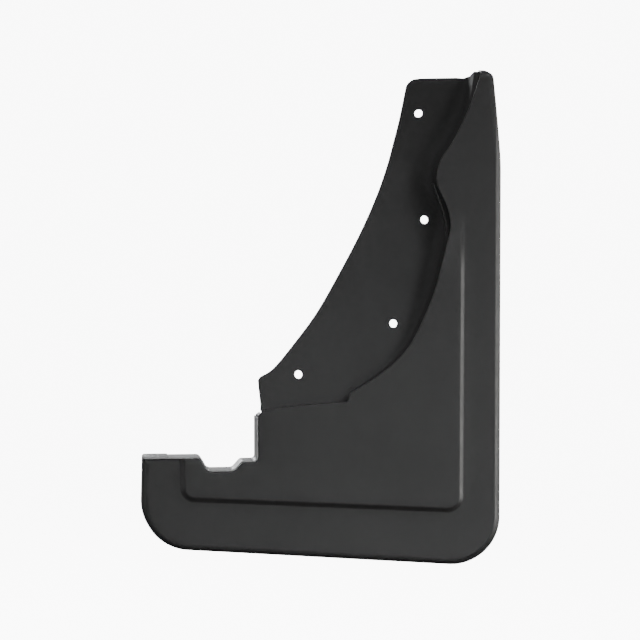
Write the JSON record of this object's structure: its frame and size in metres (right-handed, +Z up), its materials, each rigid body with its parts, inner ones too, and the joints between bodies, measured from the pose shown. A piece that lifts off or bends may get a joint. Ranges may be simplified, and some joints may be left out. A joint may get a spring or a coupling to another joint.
{
  "type": "mud flap",
  "caption": "Moulded splash guard: curved wheel-arch wing with open screw holes, broad flap with raised field and rolled border, rocker notch with light edge trim, springy lower skirt.",
  "frame": {"origin": "axis of the top arch hole, mid-way through the wing sheet", "axes": "+X outboard, +Y towards the tyre (the styled face looks along -Y), +Z up"},
  "size_m": [0.2814, 0.0436, 0.3866],
  "materials": {
    "moulded_black": "charcoal black moulded polypropylene, fine satin grain",
    "wing_black": "the same moulded polypropylene, fine satin grain",
    "light_trim": "light grey soft plastic edge strip, matte",
    "seal_rubber": "closed-cell rubber foam",
    "screw_steel": "black phosphate coated steel",
    "washer_steel": "zinc plated steel"
  },
  "bodies": {
    "guard": {"outer_panel": "moulded_black", "arch_wing": "wing_black", "notch_edge_trim": "light_trim", "fender_edge_seal": "seal_rubber", "joint_screws": "screw_steel", "joint_washers": "washer_steel"},
    "skirt": {"lower_skirt": "moulded_black"}
  },
  "joints": [
    {"name": "skirt_flex", "type": "hinge", "parent": "guard", "child": "skirt", "pos_m": [0, -0.0372, -0.29], "axis": [1, 0, 0], "range_deg": [-12, 12], "stiffness_Nm_per_rad": 6}
  ]
}
